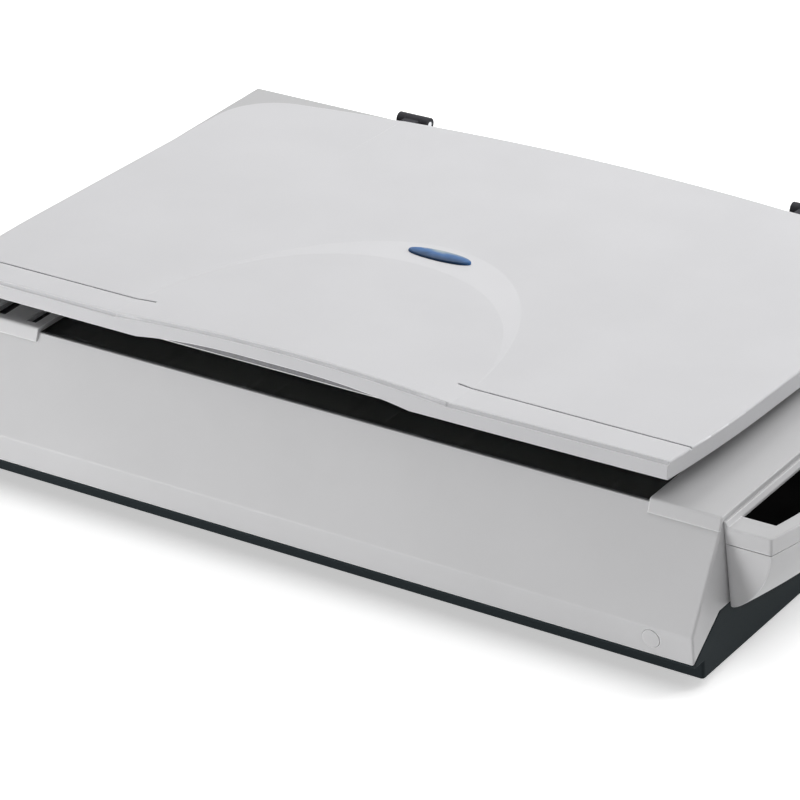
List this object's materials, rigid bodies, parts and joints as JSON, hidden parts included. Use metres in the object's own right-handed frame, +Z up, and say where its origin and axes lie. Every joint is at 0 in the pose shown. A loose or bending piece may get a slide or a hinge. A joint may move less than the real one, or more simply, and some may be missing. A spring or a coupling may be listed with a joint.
{
  "type": "flatbed book scanner",
  "caption": "Large-format flatbed scanner with a glass bed that runs to a slanted front edge, a thin hinged lid with an arched front, and a control pod on its right side",
  "frame": {"origin": "middle of the bounding box on the table plane, with the lid as in the picture", "axes": "+X to the user's right, -Y towards the user, +Z up"},
  "size_m": [0.625, 0.4003, 0.1288],
  "materials": {
    "shell_light": "satin",
    "lid_light": "satin",
    "tray_dark": "matte",
    "clear_glass": "gloss",
    "slit_glass": "gloss",
    "panel_black": "gloss",
    "key_grey": "satin",
    "key_blue": "satin",
    "display_smoke": "gloss",
    "button_light": "satin",
    "badge_silver": "satin",
    "white_inner": "matte",
    "foam_grey": "matte",
    "pad_white": "satin",
    "rubber_black": "matte",
    "screw_steel": "satin",
    "rod_steel": "polished",
    "plate_steel": "satin",
    "pin_steel": "satin",
    "hinge_dark": "satin",
    "mechanism_black": "matte",
    "cover_black": "matte",
    "lamp_white": "gloss",
    "reflector_bright": "polished",
    "mirror_bright": "polished",
    "lens_black": "satin",
    "board_green": "satin",
    "bush_bronze": "satin",
    "glide_white": "satin",
    "gear_white": "satin",
    "belt_black": "matte",
    "motor_metal": "satin",
    "socket_metal": "satin",
    "ribbon_white": "satin",
    "lock_orange": "satin"
  },
  "bodies": {
    "chassis": {"lower_housing": "tray_dark", "upper_housing": "shell_light", "housing_screws": "screw_steel", "rubber_feet": "rubber_black", "window_frame": "shell_light", "document_glass": "clear_glass", "slit_windows": "slit_glass", "calibration_strip": "pad_white", "edge_strip": "mechanism_black", "pod_body": "shell_light", "pod_bezel": "shell_light", "key_plate": "panel_black", "status_window": "display_smoke", "button_board": "board_green", "power_switch": "mechanism_black", "hinge_sockets": "tray_dark", "support_rail": "plate_steel", "guide_rod": "rod_steel", "rod_brackets": "plate_steel", "drive_belt": "belt_black", "stepper_motor": "motor_metal", "motor_bracket": "plate_steel", "idler_bracket": "plate_steel", "tension_spring": "pin_steel", "usb_socket": "socket_metal", "dc_inlet": "mechanism_black", "main_board": "board_green", "ribbon_cable": "ribbon_white"},
    "lid": {"lid_shell": "lid_light", "lid_liner": "white_inner", "lid_screws": "screw_steel", "pad_foam": "foam_grey", "pad_sheet": "pad_white", "lid_badge": "badge_silver", "hinge_arms": "hinge_dark"},
    "posts": {"hinge_posts": "hinge_dark", "hinge_pins": "pin_steel"},
    "carriage": {"carriage_housing": "mechanism_black", "lock_catch": "mechanism_black", "carriage_cover": "cover_black", "lamp_tube": "lamp_white", "lamp_reflector": "reflector_bright", "fold_mirrors": "mirror_bright", "lens_barrel": "lens_black", "sensor_board": "board_green", "guide_bushes": "bush_bronze", "glide_pad": "glide_white", "belt_clamp": "glide_white", "ribbon_clamp": "mechanism_black"},
    "gear": {"drive_gear": "gear_white"},
    "idler": {"idler_pulley": "gear_white"},
    "pinion": {"motor_pinion": "bush_bronze"},
    "scan_key": {"scan_button": "key_blue"},
    "mode_key": {"mode_key": "key_grey"},
    "up_key": {"up_key": "key_grey"},
    "down_key": {"down_key": "key_grey"},
    "power_key": {"power_button": "button_light"},
    "lock": {"transport_lock": "lock_orange"}
  },
  "joints": [
    {"name": "post_lift", "type": "slide", "parent": "chassis", "child": "posts", "axis": [0, 0, 1], "range_m": [0, 0.02]},
    {"name": "lid_hinge", "type": "hinge", "parent": "posts", "child": "lid", "pos_m": [0, 0.1915, 0.1063], "axis": [-1, 0, 0], "range_deg": [-1.9, 78]},
    {"name": "carriage_slide", "type": "slide", "parent": "chassis", "child": "carriage", "axis": [1, 0, 0], "range_m": [0, 0.457], "deforming": ["ribbon_cable"]},
    {"name": "drive_spin", "type": "hinge", "parent": "chassis", "child": "gear", "pos_m": [0.2425, 0.1765, 0.0493], "axis": [0, 0, 1], "range_deg": [-5, 3920]},
    {"name": "idler_spin", "type": "hinge", "parent": "chassis", "child": "idler", "pos_m": [-0.2855, 0.1765, 0.0493], "axis": [0, 0, 1], "range_deg": [-5, 3920]},
    {"name": "motor_spin", "type": "hinge", "parent": "chassis", "child": "pinion", "pos_m": [0.2215, 0.1765, 0.0493], "axis": [0, 0, 1], "range_deg": [-9800, 10]},
    {"name": "scan_press", "type": "slide", "parent": "chassis", "child": "scan_key", "axis": [0, 0, -1], "range_m": [0, 0.0012], "stiffness_N_per_m": 500, "springref_m": -0.001},
    {"name": "mode_press", "type": "slide", "parent": "chassis", "child": "mode_key", "axis": [0, 0, -1], "range_m": [0, 0.0012], "stiffness_N_per_m": 500, "springref_m": -0.001},
    {"name": "up_press", "type": "slide", "parent": "chassis", "child": "up_key", "axis": [0, 0, -1], "range_m": [0, 0.0012], "stiffness_N_per_m": 500, "springref_m": -0.001},
    {"name": "down_press", "type": "slide", "parent": "chassis", "child": "down_key", "axis": [0, 0, -1], "range_m": [0, 0.0012], "stiffness_N_per_m": 500, "springref_m": -0.001},
    {"name": "power_press", "type": "slide", "parent": "chassis", "child": "power_key", "axis": [0, 0.9969, 0.0788], "range_m": [0, 0.0015], "stiffness_N_per_m": 500, "springref_m": -0.001},
    {"name": "lock_slide", "type": "slide", "parent": "chassis", "child": "lock", "axis": [0, 1, 0], "range_m": [0, 0.01]}
  ],
  "couplings": [
    {"joint": "drive_spin", "follows": "carriage_slide", "rad_per_m": 149.25},
    {"joint": "idler_spin", "follows": "carriage_slide", "rad_per_m": 149.25},
    {"joint": "motor_spin", "follows": "carriage_slide", "rad_per_m": -373.13}
  ]
}
